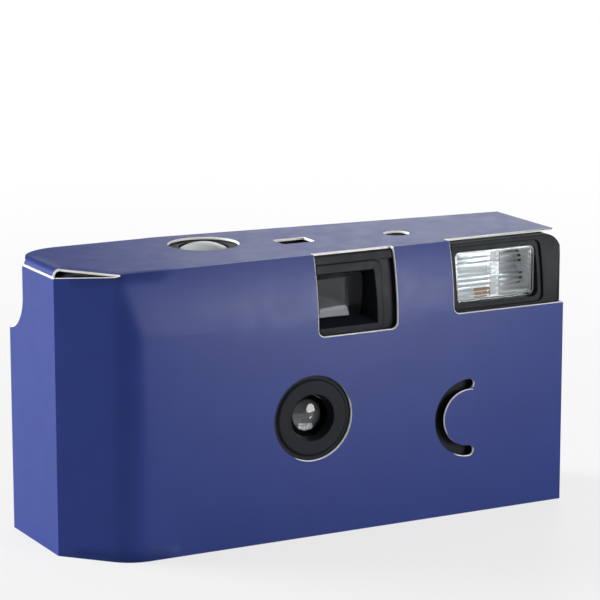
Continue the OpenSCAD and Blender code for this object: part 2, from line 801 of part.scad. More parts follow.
module front_cover() {
    lens_back = lens_y - 3 * run_gap;
    place() color(moulded_black) difference() {
        union() {
            intersection() {
                cover_shell();
                box([left_x, -1, 0], [right_x, split_y, case_h]);
            }
            rod_y(lens_x, lens_z, boss_in, boss_in + boss_edge, boss_r - boss_edge, boss_r);
            rod_y(lens_x, lens_z, boss_in + boss_edge, lens_back, boss_r);
            intersection() {
                finder_recess(wall_t);
                block(cover_in, end_in, cover_in, cover_top, cover_corner_r);
            }
            finder_rim();
            intersection() {
                flash_rim(fw_rim, fw_y + fw_t);
                block(fw_step, end_in, cover_in, cover_top, cover_corner_r);
            }
            flash_pad();
        }
        finder_moat();
        difference() {
            flash_rim(fw_rim + 2 * seat_gap, split_y);
            block(fw_step + run_gap, end_in, 0, case_h);
        }
        rod_y(lens_x, lens_z, boss_in - eps, lens_back + eps, mouth_r, neck_r);
        finder_recess(0);
        window_y(vf_x, vf_z, vf_lens_w - 2 * slip_gap, vf_lens_h - 2 * slip_gap, cut_r / 2,
            inner_in, vf_front_y);
        flash_rim(seat_gap, tube_y);
        rod_y(charge_x, charge_z, -1, inner_in + 1, charge_hole_r);
    }
}

// Wall behind the thumb notch, with the wheel's slot left to the cover
module thumb_web(top) {
    at = [left_x + thumb_r, case_d - thumb_r];
    web_y = case_d - cover_in - web_in;
    box([at.x, web_y - web_t, notch_z - shell_t], [left_x + notch_w + shell_t, web_y, top]);
    intersection() {
        difference() {
            rod_z(at.x, at.y, notch_z - shell_t, top, thumb_r - web_in - cover_in);
            rod_z(at.x, at.y, notch_z - shell_t - 1, top + 1, thumb_r - web_in - cover_in - web_t);
        }
        box([left_x, at.y, 0], [at.x, case_d, case_h]);
    }
}

module thumb_space(top) {
    web_y = case_d - cover_in - web_in;
    thumb_corner(thumb_r - web_in - cover_in, notch_z, top);
    box([left_x + thumb_r, web_y, notch_z], [left_x + notch_w, case_d + 1, top]);
}

module press_ribs() {
    reach = gate_w / 2 - aperture_r;
    for (z = [film_z + slip_gap, film_z + film_w - slip_gap - rib_h]) {
        intersection() {
            block(cover_in, end_in, z, z + rib_h);
            difference() {
                box([lens_x - reach, film_y - cass_cap, z], [lens_x + reach, case_d, z + rib_h]);
                rod_z(lens_x, track_y, z - 1, z + rib_h + 1, track_r + film_t + slip_gap);
            }
        }
    }
}

module rear_cover() {
    space_top = inner_top;
    place() color(moulded_black) difference() {
        union() {
            difference() {
                union() {
                    cover_shell();
                    intersection() {
                        block(cover_in, end_in, cover_in, cover_top);
                        box([left_x, case_d - thumb_r, notch_z - shell_t],
                            [left_x + notch_w + shell_t, case_d, notch_z]);
                    }
                }
                box([left_x + end_inner, 0, notch_z - shell_t - 1],
                    [left_x + notch_w + shell_t, case_d - cover_in - web_in - web_t, notch_z + 1]);
                thumb_space(space_top);
                thumb_corner(thumb_r - cover_in, space_top - 1, case_h);
            }
            intersection() {
                thumb_web(inner_top + eps);
                block(cover_in, end_in, cover_in, cover_top);
            }
            press_ribs();
        }
        box([left_x, -1, 0], [right_x, split_y, case_h]);
        rod_z(wheel_x, wheel_y, ratchet_z - slip_gap, wheel_top + slip_gap, wheel_r + slip_gap);
        rod_z(btn_x, btn_y, inner_top - 1, case_h, btn_r + slip_gap);
        window_z(count_x, count_y, count_w + 1, count_d + 1, cut_r / 2, inner_top - 1, case_h);
        rod_z(lamp_x, lamp_y, inner_top - 1, case_h, lamp_hole_r - seat_gap);
        window_y(vf_x, vf_z, eye_w, eye_h, cut_r / 2, thin_d - inner_in, case_d);
        box(door_low() - [seat_gap, seat_gap, 1], door_high() + [seat_gap, seat_gap, 1]);
    }
}

// Bottom door under the cassette
function door_low() = [left_x + end_inner + 2 * slip_gap, split_y + 2 * frame_gap, cover_in];
function door_high() = [wheel_x + cass_r + 2 * slip_gap, case_d - inner_in - 2 * frame_gap, inner_in];

module cassette_door() {
    ring_r = hub_r * 1.5;
    place() color(moulded_black) {
        box(door_low(), door_high());
        difference() {
            rod_z(wheel_x, wheel_y, inner_in - eps, cass_z - seat_gap, ring_r);
            rod_z(wheel_x, wheel_y, inner_in, cass_z, ring_r - wall_t);
        }
    }
}

// Chassis
module light_tunnel(wall) {
    grow = 2 * wall + 4 * seat_gap;
    near = 4 * aperture_r + 2 * wall;
    taper_y(lens_x, lens_z, plate_y + wall_t, near, near,
        film_y + 2 * seat_gap, gate_w + grow, gate_h + grow);
}

module chamber_wall(x, y, r, z0, z1) {
    difference() {
        rod_z(x, y, z0, z1, r + wall_t);
        rod_z(x, y, z0 - 1, z1 + 1, r);
        box([x - far / 2, y, z0 - 2], [x + far / 2, y + far, z1 + 2]);
    }
}

module film_gate() {
    reach = gate_w / 2 + cass_cap;
    intersection() {
        union() {
            box([lens_x - reach, film_y - gate_margin, floor_z], [lens_x + reach, film_y, vf_base]);
            light_tunnel(wall_t);
        }
        rod_z(lens_x, track_y, floor_z, vf_base, track_r - film_t / 2 - seat_gap);
    }
}

module deck() {
    front = inner_in + lean(deck_top) + 2 * frame_gap;
    edge = case_d - cover_in - web_in - web_t - 2 * frame_gap;
    deck_end = vf_x - vf_lens_w / 2 - vf_wall - shell_t;
    difference() {
        union() {
            box([left_x + end_inner + frame_gap, corner_depth, deck_z], [sprocket_at.x, edge, deck_top]);
            box([left_x + corner_run * 1.35, front, deck_z], [deck_end, corner_depth, deck_top]);
            box([sprocket_at.x - 1, corner_depth - 1, deck_z], [deck_end, stem_y + 2 * stem_r, deck_top]);
        }
        thumb_corner(thumb_r - inner_in - web_in, deck_z - 1, deck_top + 1);
    }
}

module chassis() {
    reach_x = gate_w / 2 + aperture_r;
    boss_z = sprocket_z - sprocket_t / 2 - shaft_r;
    boss_r = shaft_r + pin_r;
    floor_end = right_x - end_inner - cover_corner_r;
    wall_x = batt_x + batt_l + contact_t;
    near_wall_x = batt_x - contact_cone - contact_t - wall_t;
    bridge_y = supply_y - bridge_half + shaft_r + pin_r;
    plate_z = floor_top + 2 * batt_r + slip_gap;
    recess_z = vf_z - vf_mouth_h / 2 - wall_t;
    place() color(dark_grey) difference() {
        union() {
            box([left_x + end_inner + frame_gap, corner_depth, floor_z],
                [floor_end, thin_d - inner_in - 2 * frame_gap, floor_top]);
            box([left_x + corner_run * 1.35, inner_in + frame_gap, floor_z],
                [floor_end, corner_depth, floor_top]);
            deck();
            chamber_wall(wheel_x, wheel_y, cass_r + frame_gap, floor_z, deck_z);
            chamber_wall(supply_x, supply_y, roll_r + supply_gap, floor_z, bridge_z);
            box([supply_x - bridge_half, bridge_y, bridge_z],
                [supply_x + bridge_half, supply_y + 2.5 * shaft_r, bridge_z + wall_t]);
            box([lens_x - reach_x, plate_y, plate_z], [vf_cut_x - 2 * wall_t, plate_y + wall_t, deck_z]);
            box([lens_x, plate_y, plate_z], [lens_x + reach_x, plate_y + wall_t, recess_z - frame_gap]);
            film_gate();
            rod_z(sprocket_at.x, sprocket_at.y, boss_z, sprocket_z, boss_r);
            box([sprocket_at.x - boss_r, sprocket_at.y, boss_z],
                [sprocket_at.x + boss_r, film_y - gate_margin + pin_r, sprocket_z]);
            rod_y(blade_x, blade_z, retainer_y + 1.5 * lens_edge, plate_y, pin_r);
            rod_z(lever_x, lever_y, lever_z - lever_t, deck_z, pin_r);
            rod_z(pawl_pin().x, pawl_pin().y, deck_top, wheel_z + 2 * seat_gap, pin_r);
            rod_z(meter_pin().x, meter_pin().y, deck_top, cam_z + cam_t + 2 * slip_gap, pin_r);
            rod_z(disc_x, count_y, deck_top - eps, deck_top + disc_pin_h, pin_r - run_gap);
            for (x = [near_wall_x, wall_x]) {
                box([x, batt_y - contact_w, floor_top], [x + wall_t, batt_y + batt_r, batt_z + contact_w]);
            }
        }
        light_tunnel(0);
        rod_y(lens_x, lens_z, plate_y - 1, plate_y + wall_t + 1, retainer_bore);
        rod_z(wheel_x, wheel_y, floor_z - 1, floor_top + 1, cass_r + frame_gap);
        rod_z(wheel_x, wheel_y, deck_z - 1, deck_top + 1, hub_r + run_gap);
        rod_z(sprocket_at.x, sprocket_at.y, sprocket_z - sprocket_t / 2 - slip_gap,
            sprocket_z + sprocket_t / 2 + slip_gap, pocket_r);
        rod_z(sprocket_at.x, sprocket_at.y, sprocket_z - sprocket_t / 2 - shaft_r * 0.9, deck_top + 1,
            shaft_r + run_gap);
        rod_z(stem_x, stem_y, deck_z - 1, deck_top + 1, stem_r + run_gap);
        rod_z(supply_x, supply_y, floor_z - 1, bridge_z + wall_t + 1, shaft_r + run_gap);
        box([lever_x + blade_dx / 2, plate_y - 1, lever_z - slip_gap - seat_gap],
            [blade_x - blade_dx * 0.8, plate_y + wall_t + 1, deck_z]);
        box(door_low() - [seat_gap, seat_gap, -1], door_high() + [seat_gap, seat_gap, 1 - eps]);
    }
}

// Lens and shutter
module lens_element() {
    face_r = neck_r - 2 * seat_gap;
    sag = lens_curve - sqrt(lens_curve * lens_curve - face_r * face_r);
    place() color(clear_plastic) translate([lens_x, lens_y, lens_z]) rotate([-90, 0, 0]) {
        cylinder(r = lens_r, h = lens_edge);
        intersection() {
            translate([0, 0, lens_curve - sag]) sphere(lens_curve);
            translate([0, 0, -sag]) cylinder(r = face_r, h = sag + eps);
        }
    }
}

function retainer_posts() = [for (p = [[1.385, -0.925], [1.385, 0.925], [-0.155, 1.615]])
    [lens_x, lens_z] + retainer_r * p];

module lens_retainer() {
    place() color(dark_grey) difference() {
        union() {
            rod_y(lens_x, lens_z, retainer_y, retainer_back, retainer_r);
            for (p = retainer_posts()) {
                on_front(0, 0, retainer_back - wall_t, retainer_back)
                    arm_2d([lens_x, lens_z], p, pin_r * 1.4);
                rod_y(p.x, p.y, retainer_back - eps, plate_y, pin_r * 1.2);
            }
        }
        rod_y(lens_x, lens_z, retainer_y - 1, lens_y + lens_edge, lens_r + run_gap);
        rod_y(lens_x, lens_z, retainer_y, retainer_back + 1, retainer_bore);
    }
}

module aperture_plate() {
    place() color(bright_steel) difference() {
        rod_y(lens_x, lens_z, aperture_y, plate_y, retainer_r);
        rod_y(lens_x, lens_z, aperture_y - 1, plate_y + 1, aperture_r);
    }
}

module shutter_blade() {
    pivot = [blade_x, blade_z];
    tab_half = pin_r * 0.7;
    tab = [blade_x - pin_r / 2, blade_z + blade_tab - tab_half];
    place() color(bright_steel) on_front(0, 0, blade_y, blade_y + blade_t) difference() {
        union() {
            translate([lens_x, lens_z]) circle(blade_r);
            arm_2d(pivot, [lens_x, lens_z], aperture_r);
            arm_2d(pivot, tab, tab_half);
            translate(pivot) circle(2 * pin_r);
        }
        translate(pivot) circle(pin_r + run_gap);
    }
}

module shutter_return_spring() {
    room = blade_y - retainer_y - 2 * lens_edge;
    place() color(bright_steel) translate([blade_x, blade_y - seat_gap, blade_z]) rotate([90, 0, 0])
        coil(lever_coil, lever_wire, room, 3);
}

module shutter_drive_lever() {
    pivot = [lever_x, lever_y];
    tip = [blade_x - pin_r * 1.9, blade_y + blade_t / 2];
    tail = pivot + pin_r * [-3.5, 2.5];
    place() color(button_grey) translate([0, 0, lever_z]) linear_extrude(lever_t) difference() {
        union() {
            arm_2d(pivot, tip, pin_r * 0.6);
            arm_2d(pivot, tail, pin_r * 0.9);
            translate(pivot) circle(pin_r * 2.2);
        }
        translate(pivot) circle(pin_r + run_gap);
    }
}

module drive_spring() {
    place() color(bright_steel) translate([lever_x, lever_y, lever_z - lever_t])
        coil(lever_coil, lever_wire, lever_t - seat_gap, 3);
}

// Shutter button
module shutter_button() {
    crown = (btn_r * btn_r + btn_crown * btn_crown) / (2 * btn_crown);
    place() color(button_grey) {
        rod_z(btn_x, btn_y, btn_base, btn_base + btn_t, btn_r);
        intersection() {
            translate([btn_x, btn_y, btn_base + btn_t + btn_crown - crown]) sphere(crown, $fn = 128);
            rod_z(btn_x, btn_y, btn_base + btn_t - eps, btn_top, btn_r);
        }
        rod_z(stem_x, stem_y, foot_z, btn_base + eps, stem_r);
        rod_z(stem_x, stem_y, foot_z, deck_z - seat_gap, foot_r);
    }
}

module button_spring() {
    place() color(bright_steel) translate([stem_x, stem_y, deck_top])
        coil(stem_r * 1.3, stem_r * 0.15, btn_base - deck_top, 6);
}

// Thumb wheel on the cassette's spool
module film_advance_wheel() {
    place() color(moulded_black) translate([wheel_x, wheel_y, 0]) {
        translate([0, 0, wheel_z - eps]) linear_extrude(wheel_t + eps) polygon([
            for (i = [0:wheel_notches - 1], s = [[0, 0], [0.55, 0], [0.7, 1], [0.85, 1]])
                let (a = 360 * (i + s[0]) / wheel_notches, r = wheel_r - notch_depth * s[1])
                    [r * cos(a), r * sin(a)]]);
        translate([0, 0, ratchet_z]) linear_extrude(ratchet_t) polygon([
            for (i = [0:ratchet_teeth - 1], s = [[0, 1], [0.9, 0]])
                let (a = 360 * (i + s[0]) / ratchet_teeth, r = ratchet_r - notch_depth * 2 * s[1])
                    [r * cos(a), r * sin(a)]]);
        translate([0, 0, deck_z]) cylinder(r = hub_r, h = ratchet_z - deck_z + eps);
        difference() {
            translate([0, 0, cass_top - fork_l]) cylinder(r = fork_r, h = deck_z - cass_top + fork_l + eps);
            translate([-fork_slot / 2, -far / 2, cass_z]) cube([fork_slot, far, cass_h - frame_gap]);
        }
    }
}

module cassette_spool() {
    flange_z = [film_z - slip_gap - pin_r, film_z + film_w + slip_gap];
    place() color(moulded_black) translate([wheel_x, wheel_y, 0]) difference() {
        union() {
            translate([0, 0, cass_z + 2 * seat_gap]) cylinder(r = hub_r, h = cass_h + 2 * slip_gap);
            for (z = flange_z) {
                translate([0, 0, z]) cylinder(r = cass_r - wall_t, h = pin_r);
            }
        }
        difference() {
            translate([0, 0, cass_top - fork_l - 1]) cylinder(r = fork_r + run_gap, h = fork_l + 3);
            translate([-fork_slot / 2 + seat_gap, -far / 2, cass_top - fork_l])
                cube([fork_slot - 2 * seat_gap, far, fork_l * 0.62]);
        }
        translate([0, 0, cass_z]) cylinder(r = fork_r, h = fork_l * 1.25);
    }
}

// Film cassette with its felt lip
module film_cassette() {
    lip = touch_point(gate_l, [wheel_x, wheel_y], cass_r * 0.95, 1);
    along = gate_l - lip;
    place() color(bright_steel) difference() {
        union() {
            rod_z(wheel_x, wheel_y, cass_z, cass_z + cass_h, cass_r);
            translate([lip.x, lip.y, film_z - lip_over]) rotate(atan2(along.y, along.x))
                translate([0, -lip_t / 2, 0]) cube([lip_l, lip_t, film_w + 2 * lip_over]);
        }
        rod_z(wheel_x, wheel_y, cass_z + wall_t, cass_z + cass_h - wall_t, cass_r - tin_t);
        rod_z(wheel_x, wheel_y, cass_z - 1, cass_z + cass_h + 1, hub_r + seat_gap);
        translate([lip.x, lip.y, film_z - slip_gap]) rotate(atan2(along.y, along.x))
            translate([-lip_l / 2, -slip_gap, 0]) cube([2 * lip_l, 2 * slip_gap, film_w + 2 * slip_gap]);
    }
}

// Film from the cassette's lip over the gate to the supply roll
function film_path() = let (
    lip = touch_point(gate_l, [wheel_x, wheel_y], cass_r * 0.95, 1),
    roll = touch_point(gate_right, [supply_x, supply_y], roll_r + seat_gap + film_t / 2, -1),
    steps = 12)
    concat([lip + unit(gate_l - lip) * lip_over],
        [for (i = [0:steps]) track_point(gate_a * (2 * i / steps - 1), track_r)], [roll]);

module film_strip() {
    p = film_path();
    last = len(p) - 1;
    along = [for (i = [0:last]) unit(p[min(i + 1, last)] - p[max(i - 1, 0)])];
    side = [for (u = along) [-u.y, u.x] * film_t / 2];
    step = perf_pitch / track_r * 180 / PI;
    place() color(film_brown) difference() {
        translate([0, 0, film_z]) linear_extrude(film_w) polygon(concat(
            [for (i = [0:last]) p[i] - side[i]], [for (i = [last:-1:0]) p[i] + side[i]]));
        for (i = [-3:3], s = [-1, 1]) {
            translate([lens_x, track_y, lens_z + s * perf_z]) rotate(-i * step) translate([0, track_r, 0])
                cube([perf_w, perf_w, perf_h], center = true);
        }
        translate([lens_x, track_y, sprocket_z]) rotate(-sprocket_a) translate([0, track_r, 0])
            cube([1.9 * perf_pitch, 2 * perf_w, perf_h], center = true);
    }
}

module supply_spool() {
    place() color(moulded_black) translate([supply_x, supply_y, 0]) {
        translate([0, 0, floor_z]) cylinder(r = shaft_r, h = bridge_z + wall_t - floor_z);
        translate([0, 0, film_z - shaft_r]) cylinder(r = core_r, h = film_w + 2 * shaft_r);
        for (z = [film_z - shaft_r, film_z + film_w + shaft_r - wall_t]) {
            translate([0, 0, z]) cylinder(r = roll_r - 2 * seat_gap, h = wall_t);
        }
    }
}

module film_supply_roll() {
    place() color(film_brown) translate([supply_x, supply_y, film_z]) difference() {
        cylinder(r = roll_r, h = film_w);
        translate([0, 0, -1]) cylinder(r = core_r + run_gap, h = film_w + 2);
    }
}

// Sprocket, counter and levers
// Corners of one tooth, from its root over its tip and back
function tooth_point(k) = let (s = k < 3 ? -1 : 1, j = k < 3 ? k : 5 - k)
    [[0, tooth_root, tooth_root + tooth_h][j], s * tooth_h * [1, 0.88, 0.35][j]];

module film_sprocket() {
    shaft_z = sprocket_z - sprocket_t / 2 - shaft_r * 0.8;
    place() color(button_grey) translate([sprocket_at.x, sprocket_at.y, 0]) {
        translate([0, 0, sprocket_z - sprocket_t / 2]) linear_extrude(sprocket_t) union() {
            circle(pitch_r - seat_gap);
            for (i = [0:sprocket_teeth - 1]) rotate(90 - sprocket_a + 360 * i / sprocket_teeth)
                translate([pitch_r - tooth_root, 0]) polygon([for (k = [0:5]) tooth_point(k)]);
        }
        translate([0, 0, shaft_z]) cylinder(r = shaft_r, h = disc_z + disc_t - shaft_z);
        translate([0, 0, cam_z]) cylinder(r = cam_r, h = cam_t);
        translate([0, 0, disc_z]) linear_extrude(disc_t) rotate(200)
            polygon(finger_r * [[0, -0.24], [1, -0.086], [1, 0.086], [0, 0.24]]);
    }
}

module counter_disc() {
    place() color("white") translate([disc_x, count_y, disc_z]) difference() {
        union() {
            linear_extrude(disc_t) polygon([
                for (i = [0:disc_teeth - 1], s = [0, 1])
                    let (a = 360 * (i + s * 0.6) / disc_teeth, r = disc_r - s * disc_tooth)
                        [r * cos(a), r * sin(a)]]);
            translate([0, 0, deck_top - disc_z]) cylinder(r = shaft_r, h = disc_z - deck_top + eps);
        }
        translate([0, 0, deck_top - disc_z - 1]) cylinder(r = pin_r, h = disc_pin_h + slip_gap + 1);
    }
}

function meter_pin() = [wheel_x + wheel_r + 2 * pin_r, sprocket_at.y - pitch_r * 1.67];
function pawl_pin() = [wheel_x + wheel_r - pin_r / 2, wheel_y - wheel_r + pin_r * 1.8];

module metering_lever() {
    pin = meter_pin();
    hub = [wheel_x, wheel_y];
    half = pin_r * 0.7;
    to_wheel = hub + unit(pin - hub) * (wheel_r + slip_gap + half);
    to_cam = [sprocket_at.x, sprocket_at.y - cam_r - slip_gap - half];
    place() color(bright_steel) translate([0, 0, cam_z + seat_gap]) linear_extrude(wall_t) difference() {
        union() {
            arm_2d(pin, to_wheel, half);
            arm_2d(pin, to_cam, half);
            translate(pin) circle(pin_r * 2);
        }
        translate(pin) circle(pin_r + run_gap);
    }
}

module anti_reverse_pawl() {
    pin = pawl_pin();
    half = pin_r / 2;
    tip_r = ratchet_r + slip_gap + half;
    tip = [wheel_x + tip_r * cos(-62), wheel_y + tip_r * sin(-62)];
    place() color(bright_steel) translate([0, 0, ratchet_z + seat_gap]) linear_extrude(wall_t) difference() {
        union() {
            arm_2d(pin, tip, half);
            translate(pin) circle(pin_r * 1.9);
        }
        translate(pin) circle(pin_r + run_gap);
    }
}

// Finder
module viewfinder_housing() {
    w = vf_lens_w + 2 * vf_wall;
    h = 2 * (vf_z - vf_base);
    place() color(moulded_black) difference() {
        window_y(vf_x, vf_z, w, h, vf_wall, vf_front_y, vf_back_y);
        window_y(vf_x, vf_z, vf_lens_w + 2 * seat_gap, vf_lens_h + 2 * seat_gap, vf_round,
            vf_front_y - 1, vf_front_y + vf_lens_t);
        window_y(vf_x, vf_z, vf_lens_w * 0.6, vf_lens_h * 0.7, vf_round, vf_front_y, vf_back_y);
        window_y(vf_x, vf_z, eye_w + 2 * seat_gap, eye_h + 2 * seat_gap, vf_round,
            vf_back_y - eye_t, vf_back_y + 1);
    }
}

module viewfinder_front_lens() {
    place() color(clear_plastic) difference() {
        window_y(vf_x, vf_z, vf_lens_w, vf_lens_h, vf_round, vf_front_y, vf_front_y + vf_lens_t);
        translate([vf_x, vf_front_y + vf_dish - vf_dish_r, vf_z]) sphere(vf_dish_r, $fn = 128);
    }
}

module viewfinder_eyepiece() {
    place() color(clear_plastic) intersection() {
        window_y(vf_x, vf_z, eye_w, eye_h, vf_round, vf_back_y - eye_t, vf_back_y + eye_t);
        translate([vf_x, vf_back_y + eye_bulge - eye_dome_r, vf_z]) sphere(eye_dome_r, $fn = 128);
    }
}

// Flash
module flash_window() {
    pitch = fw_h / (fw_ribs + 1);
    field = (fw_w * 0.92 - fw_bar) / 2;
    place() color(clear_plastic) {
        window_y(fw_x, fw_z, fw_w, fw_h, cut_r - seat_gap, fw_y, fw_y + fw_t);
        for (s = [-1, 1], i = [0:fw_ribs - 1]) {
            translate([fw_x + s * (fw_bar + field) / 2 - field / 2, fw_y, fw_z + pitch * (i - fw_ribs / 2)])
                rotate([90, 0, 90]) linear_extrude(field)
                    polygon([[eps, 0], [-fw_rib_h, pitch / 2], [eps, pitch]]);
        }
    }
}

// Half height of the reflector's trough at a depth behind its rim
function trough(d, h) = h * sqrt(max(0, 1 - d / refl_d));

module flash_reflector() {
    y0 = fw_y + fw_t + seat_gap;
    half = refl_half;
    steps = 10;
    curve = [for (i = [0:steps]) refl_d * (1 - (1 - i / steps) * (1 - i / steps))];
    width = fw_w - 4 * seat_gap;
    inner = concat([for (d = curve) [d, trough(d, half)]],
        [for (i = [steps - 1:-1:0]) [curve[i], -trough(curve[i], half)]]);
    outer = concat([[0, half + refl_t]], [for (d = curve) [d + refl_t, trough(d, half) + refl_t]],
        [for (i = [steps:-1:0]) [curve[i] + refl_t, -trough(curve[i], half) - refl_t]],
        [[0, -half - refl_t]]);
    place() color(bright_steel) translate([fw_x - width / 2, y0, fw_z]) rotate([90, 0, 90]) difference() {
        linear_extrude(width) polygon(outer);
        translate([-eps, 0, refl_t]) linear_extrude(width - 2 * refl_t) polygon(inner);
        translate([tube_y - y0, 0, -1]) cylinder(r = tube_r + run_gap, h = fw_w + 2);
    }
}

module flash_tube() {
    place() color(clear_plastic) rod_x(tube_y, fw_z, fw_x - fw_w / 2 - tube_end,
        fw_x + fw_w / 2 + tube_end, tube_r);
}

module flash_trigger_clip() {
    y0 = fw_y + fw_t + seat_gap;
    clip_t = tube_r * 0.31;
    z0 = fw_z - trough(clip_t, refl_half) + run_gap;
    place() color(amber) box([fw_x - tube_r * 2.8, y0, z0], [fw_x - clip_t, y0 + clip_t, z0 + tube_r * 0.75]);
}

module flash_board() {
    place() color(board_green) box([batt_x + batt_l + 6 * contact_t, board_y, floor_top],
        [right_x - end_inner - cover_corner_r, board_y + board_t, deck_z - 4 * board_t]);
}

module flash_capacitor() {
    top = floor_top + cap_l;
    place() color(moulded_black) {
        rod_z(cap_x, cap_y, floor_top, top, cap_r);
        for (s = [-1, 1]) rod_z(cap_x + s * lead_gap, cap_y, top - eps, top + lead_gap, lead_r);
    }
}

module flash_transformer() {
    x0 = cap_x - coil_w * 0.375;
    z1 = coil_z + coil_h - board_t;
    place() color(wire_red) {
        for (z = [coil_z, z1]) box([x0, board_y - coil_d, z], [x0 + coil_w, board_y, z + board_t]);
        rod_z(x0 + coil_w / 2, board_y - coil_d / 2, coil_z + eps, z1 + eps, coil_r);
    }
}

module ready_lamp() {
    top = inner_top - lamp_r * 2.25;
    place() color(lamp_pink) {
        rod_z(lamp_x, lamp_y, bridge_z + wall_t, top, lamp_r);
        translate([lamp_x, lamp_y, top]) sphere(lamp_r);
    }
}

module ready_light_pipe() {
    place() color(clear_plastic) {
        rod_z(lamp_x, lamp_y, inner_top - lamp_r, cover_top - seat_gap, lamp_hole_r - 2 * seat_gap);
        rod_z(lamp_x, lamp_y, inner_top - lamp_r, inner_top - seat_gap, lamp_hole_r * 1.29);
    }
}

// Flash-charge button behind the card's tongue
module flash_charge_button() {
    r = slit_r - slit_w - seat_gap - slip_gap;
    flange = 3 * slip_gap;
    end = board_y - charge_travel - flange;
    place() color(dark_grey) difference() {
        union() {
            rod_y(charge_x, charge_z, card_t + 2 * seat_gap, inner_in + seat_gap, r);
            rod_y(charge_x, charge_z, inner_in + seat_gap, inner_in + flange, charge_hole_r + flange);
            rod_y(charge_x, charge_z, inner_in, end, slit_w);
        }
        rod_y(charge_x, charge_z, end - frame_gap, board_y, pin_r);
    }
}

module charge_contact() {
    y1 = board_y - charge_travel - slip_gap;
    reach = slit_w * 1.7;
    half = slit_w * 0.94;
    place() color(spring_brass) {
        box([charge_x - reach, y1 - 2 * slip_gap, charge_z - half],
            [charge_x + reach, y1 - slip_gap, charge_z + half]);
        for (s = [-1, 1]) {
            rod_y(charge_x + s * slit_w * 1.28, charge_z, y1 - slip_gap - eps, y1, slit_w * 0.3);
        }
    }
}

module sync_contacts() {
    place() color(spring_brass) for (k = [-6, -3.8]) {
        box([blade_x + pin_r * k, plate_y - blade_t, blade_z + pin_r * 3],
            [blade_x + pin_r * (k + 1), plate_y, blade_z + pin_r * 11]);
    }
}

// Battery and its contacts
module battery() {
    place() color(jacket_grey) {
        rod_x(batt_y, batt_z, batt_x, batt_x + batt_l - nub, batt_r);
        rod_x(batt_y, batt_z, batt_x + batt_l - nub - eps, batt_x + batt_l, batt_r / 2);
    }
}

module battery_contact_positive() {
    x0 = batt_x + batt_l;
    place() color(spring_brass) {
        box([x0, batt_y - contact_w, floor_top], [x0 + contact_t, batt_y + contact_w, batt_z + contact_h]);
    }
}

module battery_contact_negative() {
    x1 = batt_x - contact_cone;
    place() color(spring_brass) {
        box([x1 - contact_t, batt_y - contact_w, floor_top], [x1, batt_y + contact_w, batt_z + contact_h]);
        translate([batt_x, batt_y, batt_z]) rotate([0, -90, 0])
            cylinder(r1 = batt_r * 0.385, r2 = batt_r * 0.654, h = contact_cone);
    }
}

card_sleeve();
flash_button_flap();
front_cover();
rear_cover();
cassette_door();
chassis();
lens_element();
lens_retainer();
aperture_plate();
shutter_blade();
shutter_return_spring();
shutter_drive_lever();
drive_spring();
shutter_button();
button_spring();
film_advance_wheel();
cassette_spool();
film_cassette();
film_strip();
supply_spool();
film_supply_roll();
film_sprocket();
counter_disc();
metering_lever();
anti_reverse_pawl();
viewfinder_housing();
viewfinder_front_lens();
viewfinder_eyepiece();
flash_window();
flash_reflector();
flash_tube();
flash_trigger_clip();
flash_board();
flash_capacitor();
flash_transformer();
ready_lamp();
ready_light_pipe();
flash_charge_button();
charge_contact();
sync_contacts();
battery();
battery_contact_positive();
battery_contact_negative();
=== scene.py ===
"""Looks of a single-use film camera in a folded card sleeve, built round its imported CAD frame.

Lengths are in metres, in the frame of the CAD model: X along the width, the front faces -Y, Z up.
"""
import json
import math

import bmesh
import bpy
from mathutils import Matrix, Vector
from mathutils.bvhtree import BVHTree


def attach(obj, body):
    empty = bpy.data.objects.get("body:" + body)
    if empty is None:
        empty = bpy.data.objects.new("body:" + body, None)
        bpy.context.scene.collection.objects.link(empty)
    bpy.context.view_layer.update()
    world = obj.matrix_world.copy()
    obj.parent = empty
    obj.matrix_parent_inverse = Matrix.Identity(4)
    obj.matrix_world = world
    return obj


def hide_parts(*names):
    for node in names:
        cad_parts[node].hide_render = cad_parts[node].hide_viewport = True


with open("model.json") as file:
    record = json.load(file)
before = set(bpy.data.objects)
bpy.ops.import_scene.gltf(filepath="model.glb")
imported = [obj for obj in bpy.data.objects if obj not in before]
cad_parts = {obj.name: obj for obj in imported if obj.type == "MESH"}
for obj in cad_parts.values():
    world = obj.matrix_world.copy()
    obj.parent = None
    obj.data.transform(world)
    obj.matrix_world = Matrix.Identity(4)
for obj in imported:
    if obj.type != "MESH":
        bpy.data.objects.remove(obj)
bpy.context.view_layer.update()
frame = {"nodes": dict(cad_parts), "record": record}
nodes = frame["nodes"]
node_body = {n: b for b, members in frame["record"]["behaviour"]["bodies"].items() for n in members}

MM = 0.001

# Camera, fitted to the photograph's edges
IMAGE_PX = 600
FOCAL_PX = 2884.3
YAW = math.radians(28.015)
PITCH = math.radians(12.01)
ROLL = math.radians(-0.036)
DISTANCE = 630.5 * MM
AIM = Vector((0.3, -3.5, 49.08)) * MM
SENSOR = 36.0
NEAR_CLIP = 10 * MM

# Card: its thickness, the least depth behind a cut edge, and the step off a face before a ray is cast
CARD_T = 0.5 * MM
CUT_DEPTH = CARD_T * 2.5
RAY_STEP = CARD_T * 0.02
WELD = 0.002 * MM
FLAT_ANGLE = math.radians(0.3)
SMOOTH_ANGLE = math.radians(9)

# Folds are rounded where they are steeper than this angle
FOLD_ANGLE = math.radians(35)
FOLD_R = 0.35 * MM
FOLD_SEGMENTS = 4

# Gap between the tongue and the sleeve, which is closed along the line where the tongue bends
FOLD_GAP = 0.024 * MM

# Faces of the card: the index of their finish
PRINTED, INSIDE, CUT = 0, 1, 2

